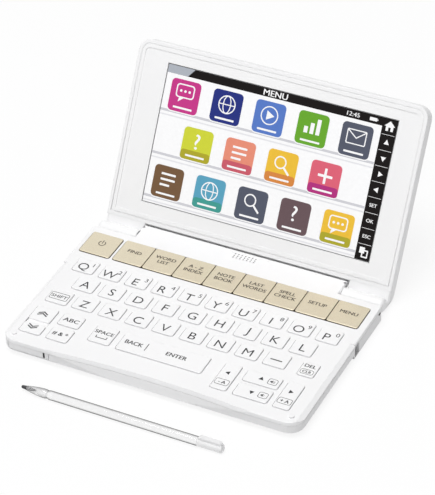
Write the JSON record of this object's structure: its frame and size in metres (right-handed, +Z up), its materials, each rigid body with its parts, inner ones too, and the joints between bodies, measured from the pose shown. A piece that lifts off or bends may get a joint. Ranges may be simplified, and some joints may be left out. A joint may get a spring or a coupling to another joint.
{
  "type": "electronic dictionary",
  "caption": "Clamshell electronic dictionary with a QWERTY keyboard base, a hinged colour-screen lid and a loose stylus.",
  "frame": {"origin": "on the table, on the flat underside of the base straight below the lid's hinge axis, midway between the sides", "axes": "+X to the right along the hinge axis, +Y to the back, +Z up; the lid is open at rest"},
  "size_m": [0.147, 0.1713, 0.081],
  "materials": {
    "deck_plastic": "white moulded plastic, fine satin",
    "case_plastic": "white moulded plastic, fine satin",
    "lid_plastic": "white lacquered plastic",
    "bezel_plastic": "white moulded plastic, fine satin",
    "key_plastic": "white keycap plastic",
    "gold_key": "champagne gold metallic paint",
    "display": "lit screen under a thin clear cover",
    "shaft_steel": "ground steel",
    "key_rubber": "grey silicone rubber",
    "board": "green solder mask on glass-fibre board",
    "battery_wrap": "plain shrink wrap",
    "speaker_black": "black plastic frame and film cone",
    "clear_plastic": "clear moulded plastic",
    "nib_plastic": "dark plastic"
  },
  "bodies": {
    "base": {"base_top_deck": "deck_plastic", "base_bottom_case": "case_plastic", "hinge_shaft": "shaft_steel", "key_mat": "key_rubber", "circuit_board": "board", "battery_pack": "battery_wrap", "speaker": "speaker_black"},
    "lid": {"lid_back_cover": "lid_plastic", "lid_front_bezel": "bezel_plastic", "display_panel": "display"},
    "card_cover": {"card_cover": "case_plastic"},
    "stylus": {"stylus_barrel": "clear_plastic", "stylus_nib": "nib_plastic"},
    "page_scroll_rocker": {"page_scroll_rocker": "key_plastic"},
    "key_q": {"key_q": "key_plastic"},
    "key_w": {"key_w": "key_plastic"},
    "key_e": {"key_e": "key_plastic"},
    "key_r": {"key_r": "key_plastic"},
    "key_t": {"key_t": "key_plastic"},
    "key_y": {"key_y": "key_plastic"},
    "key_u": {"key_u": "key_plastic"},
    "key_i": {"key_i": "key_plastic"},
    "key_o": {"key_o": "key_plastic"},
    "key_p": {"key_p": "key_plastic"},
    "key_a": {"key_a": "key_plastic"},
    "key_s": {"key_s": "key_plastic"},
    "key_d": {"key_d": "key_plastic"},
    "key_f": {"key_f": "key_plastic"},
    "key_g": {"key_g": "key_plastic"},
    "key_h": {"key_h": "key_plastic"},
    "key_j": {"key_j": "key_plastic"},
    "key_k": {"key_k": "key_plastic"},
    "key_l": {"key_l": "key_plastic"},
    "key_z": {"key_z": "key_plastic"},
    "key_x": {"key_x": "key_plastic"},
    "key_c": {"key_c": "key_plastic"},
    "key_v": {"key_v": "key_plastic"},
    "key_b": {"key_b": "key_plastic"},
    "key_n": {"key_n": "key_plastic"},
    "key_m": {"key_m": "key_plastic"},
    "key_dash": {"key_dash": "key_plastic"},
    "shift_key": {"shift_key": "key_plastic"},
    "character_key": {"character_key": "key_plastic"},
    "symbol_key": {"symbol_key": "key_plastic"},
    "space_key": {"space_key": "key_plastic"},
    "back_enter_key": {"back_enter_key": "key_plastic"},
    "delete_key": {"delete_key": "key_plastic"},
    "left_key": {"left_key": "key_plastic"},
    "right_key": {"right_key": "key_plastic"},
    "up_key": {"up_key": "key_plastic"},
    "down_key": {"down_key": "key_plastic"},
    "power_key": {"power_key": "gold_key"},
    "function_key_1": {"function_key_1": "gold_key"},
    "function_key_2": {"function_key_2": "gold_key"},
    "function_key_3": {"function_key_3": "gold_key"},
    "function_key_4": {"function_key_4": "gold_key"},
    "function_key_5": {"function_key_5": "gold_key"},
    "function_key_6": {"function_key_6": "gold_key"},
    "function_key_7": {"function_key_7": "gold_key"},
    "function_key_8": {"function_key_8": "gold_key"}
  },
  "joints": [
    {"name": "lid_hinge", "type": "hinge", "parent": "base", "child": "lid", "pos_m": [0, 0, 0.005], "axis": [-1, 0, 0], "range_deg": [-120.76, 4]},
    {"name": "key_q_press", "type": "slide", "parent": "base", "child": "key_q", "axis": [0, 0, -1], "range_m": [0, 0.0007], "stiffness_N_per_m": 300, "springref_m": -0.0003},
    {"name": "key_w_press", "type": "slide", "parent": "base", "child": "key_w", "axis": [0, 0, -1], "range_m": [0, 0.0007], "stiffness_N_per_m": 300, "springref_m": -0.0003},
    {"name": "key_e_press", "type": "slide", "parent": "base", "child": "key_e", "axis": [0, 0, -1], "range_m": [0, 0.0007], "stiffness_N_per_m": 300, "springref_m": -0.0003},
    {"name": "key_r_press", "type": "slide", "parent": "base", "child": "key_r", "axis": [0, 0, -1], "range_m": [0, 0.0007], "stiffness_N_per_m": 300, "springref_m": -0.0003},
    {"name": "key_t_press", "type": "slide", "parent": "base", "child": "key_t", "axis": [0, 0, -1], "range_m": [0, 0.0007], "stiffness_N_per_m": 300, "springref_m": -0.0003},
    {"name": "key_y_press", "type": "slide", "parent": "base", "child": "key_y", "axis": [0, 0, -1], "range_m": [0, 0.0007], "stiffness_N_per_m": 300, "springref_m": -0.0003},
    {"name": "key_u_press", "type": "slide", "parent": "base", "child": "key_u", "axis": [0, 0, -1], "range_m": [0, 0.0007], "stiffness_N_per_m": 300, "springref_m": -0.0003},
    {"name": "key_i_press", "type": "slide", "parent": "base", "child": "key_i", "axis": [0, 0, -1], "range_m": [0, 0.0007], "stiffness_N_per_m": 300, "springref_m": -0.0003},
    {"name": "key_o_press", "type": "slide", "parent": "base", "child": "key_o", "axis": [0, 0, -1], "range_m": [0, 0.0007], "stiffness_N_per_m": 300, "springref_m": -0.0003},
    {"name": "key_p_press", "type": "slide", "parent": "base", "child": "key_p", "axis": [0, 0, -1], "range_m": [0, 0.0007], "stiffness_N_per_m": 300, "springref_m": -0.0003},
    {"name": "key_a_press", "type": "slide", "parent": "base", "child": "key_a", "axis": [0, 0, -1], "range_m": [0, 0.0007], "stiffness_N_per_m": 300, "springref_m": -0.0003},
    {"name": "key_s_press", "type": "slide", "parent": "base", "child": "key_s", "axis": [0, 0, -1], "range_m": [0, 0.0007], "stiffness_N_per_m": 300, "springref_m": -0.0003},
    {"name": "key_d_press", "type": "slide", "parent": "base", "child": "key_d", "axis": [0, 0, -1], "range_m": [0, 0.0007], "stiffness_N_per_m": 300, "springref_m": -0.0003},
    {"name": "key_f_press", "type": "slide", "parent": "base", "child": "key_f", "axis": [0, 0, -1], "range_m": [0, 0.0007], "stiffness_N_per_m": 300, "springref_m": -0.0003},
    {"name": "key_g_press", "type": "slide", "parent": "base", "child": "key_g", "axis": [0, 0, -1], "range_m": [0, 0.0007], "stiffness_N_per_m": 300, "springref_m": -0.0003},
    {"name": "key_h_press", "type": "slide", "parent": "base", "child": "key_h", "axis": [0, 0, -1], "range_m": [0, 0.0007], "stiffness_N_per_m": 300, "springref_m": -0.0003},
    {"name": "key_j_press", "type": "slide", "parent": "base", "child": "key_j", "axis": [0, 0, -1], "range_m": [0, 0.0007], "stiffness_N_per_m": 300, "springref_m": -0.0003},
    {"name": "key_k_press", "type": "slide", "parent": "base", "child": "key_k", "axis": [0, 0, -1], "range_m": [0, 0.0007], "stiffness_N_per_m": 300, "springref_m": -0.0003},
    {"name": "key_l_press", "type": "slide", "parent": "base", "child": "key_l", "axis": [0, 0, -1], "range_m": [0, 0.0007], "stiffness_N_per_m": 300, "springref_m": -0.0003},
    {"name": "key_z_press", "type": "slide", "parent": "base", "child": "key_z", "axis": [0, 0, -1], "range_m": [0, 0.0007], "stiffness_N_per_m": 300, "springref_m": -0.0003},
    {"name": "key_x_press", "type": "slide", "parent": "base", "child": "key_x", "axis": [0, 0, -1], "range_m": [0, 0.0007], "stiffness_N_per_m": 300, "springref_m": -0.0003},
    {"name": "key_c_press", "type": "slide", "parent": "base", "child": "key_c", "axis": [0, 0, -1], "range_m": [0, 0.0007], "stiffness_N_per_m": 300, "springref_m": -0.0003},
    {"name": "key_v_press", "type": "slide", "parent": "base", "child": "key_v", "axis": [0, 0, -1], "range_m": [0, 0.0007], "stiffness_N_per_m": 300, "springref_m": -0.0003},
    {"name": "key_b_press", "type": "slide", "parent": "base", "child": "key_b", "axis": [0, 0, -1], "range_m": [0, 0.0007], "stiffness_N_per_m": 300, "springref_m": -0.0003},
    {"name": "key_n_press", "type": "slide", "parent": "base", "child": "key_n", "axis": [0, 0, -1], "range_m": [0, 0.0007], "stiffness_N_per_m": 300, "springref_m": -0.0003},
    {"name": "key_m_press", "type": "slide", "parent": "base", "child": "key_m", "axis": [0, 0, -1], "range_m": [0, 0.0007], "stiffness_N_per_m": 300, "springref_m": -0.0003},
    {"name": "key_dash_press", "type": "slide", "parent": "base", "child": "key_dash", "axis": [0, 0, -1], "range_m": [0, 0.0007], "stiffness_N_per_m": 300, "springref_m": -0.0003},
    {"name": "shift_key_press", "type": "slide", "parent": "base", "child": "shift_key", "axis": [0, 0, -1], "range_m": [0, 0.0007], "stiffness_N_per_m": 300, "springref_m": -0.0003},
    {"name": "character_key_press", "type": "slide", "parent": "base", "child": "character_key", "axis": [0, 0, -1], "range_m": [0, 0.0007], "stiffness_N_per_m": 300, "springref_m": -0.0003},
    {"name": "symbol_key_press", "type": "slide", "parent": "base", "child": "symbol_key", "axis": [0, 0, -1], "range_m": [0, 0.0007], "stiffness_N_per_m": 300, "springref_m": -0.0003},
    {"name": "space_key_press", "type": "slide", "parent": "base", "child": "space_key", "axis": [0, 0, -1], "range_m": [0, 0.0007], "stiffness_N_per_m": 300, "springref_m": -0.0003},
    {"name": "back_enter_key_press", "type": "slide", "parent": "base", "child": "back_enter_key", "axis": [0, 0, -1], "range_m": [0, 0.0007], "stiffness_N_per_m": 300, "springref_m": -0.0003},
    {"name": "delete_key_press", "type": "slide", "parent": "base", "child": "delete_key", "axis": [0, 0, -1], "range_m": [0, 0.0007], "stiffness_N_per_m": 300, "springref_m": -0.0003},
    {"name": "left_key_press", "type": "slide", "parent": "base", "child": "left_key", "axis": [0, 0, -1], "range_m": [0, 0.0007], "stiffness_N_per_m": 300, "springref_m": -0.0003},
    {"name": "right_key_press", "type": "slide", "parent": "base", "child": "right_key", "axis": [0, 0, -1], "range_m": [0, 0.0007], "stiffness_N_per_m": 300, "springref_m": -0.0003},
    {"name": "up_key_press", "type": "slide", "parent": "base", "child": "up_key", "axis": [0, 0, -1], "range_m": [0, 0.0007], "stiffness_N_per_m": 300, "springref_m": -0.0003},
    {"name": "down_key_press", "type": "slide", "parent": "base", "child": "down_key", "axis": [0, 0, -1], "range_m": [0, 0.0007], "stiffness_N_per_m": 300, "springref_m": -0.0003},
    {"name": "power_key_press", "type": "slide", "parent": "base", "child": "power_key", "axis": [0, 0, -1], "range_m": [0, 0.0007], "stiffness_N_per_m": 300, "springref_m": -0.0003},
    {"name": "function_key_1_press", "type": "slide", "parent": "base", "child": "function_key_1", "axis": [0, 0, -1], "range_m": [0, 0.0007], "stiffness_N_per_m": 300, "springref_m": -0.0003},
    {"name": "function_key_2_press", "type": "slide", "parent": "base", "child": "function_key_2", "axis": [0, 0, -1], "range_m": [0, 0.0007], "stiffness_N_per_m": 300, "springref_m": -0.0003},
    {"name": "function_key_3_press", "type": "slide", "parent": "base", "child": "function_key_3", "axis": [0, 0, -1], "range_m": [0, 0.0007], "stiffness_N_per_m": 300, "springref_m": -0.0003},
    {"name": "function_key_4_press", "type": "slide", "parent": "base", "child": "function_key_4", "axis": [0, 0, -1], "range_m": [0, 0.0007], "stiffness_N_per_m": 300, "springref_m": -0.0003},
    {"name": "function_key_5_press", "type": "slide", "parent": "base", "child": "function_key_5", "axis": [0, 0, -1], "range_m": [0, 0.0007], "stiffness_N_per_m": 300, "springref_m": -0.0003},
    {"name": "function_key_6_press", "type": "slide", "parent": "base", "child": "function_key_6", "axis": [0, 0, -1], "range_m": [0, 0.0007], "stiffness_N_per_m": 300, "springref_m": -0.0003},
    {"name": "function_key_7_press", "type": "slide", "parent": "base", "child": "function_key_7", "axis": [0, 0, -1], "range_m": [0, 0.0007], "stiffness_N_per_m": 300, "springref_m": -0.0003},
    {"name": "function_key_8_press", "type": "slide", "parent": "base", "child": "function_key_8", "axis": [0, 0, -1], "range_m": [0, 0.0007], "stiffness_N_per_m": 300, "springref_m": -0.0003},
    {"name": "page_scroll_rocker_tilt", "type": "hinge", "parent": "base", "child": "page_scroll_rocker", "pos_m": [-0.06265, -0.07576, 0.0066], "axis": [1, 0, 0], "range_deg": [-2.5, 2.5], "stiffness_Nm_per_rad": 0.02},
    {"name": "card_cover_slide", "type": "slide", "parent": "base", "child": "card_cover", "axis": [0, -1, 0], "range_m": [0, 0.006]},
    {"name": "stylus_lift", "type": "slide", "parent": "base", "child": "stylus", "axis": [0, 0, 1], "range_m": [0, 0.04]}
  ]
}
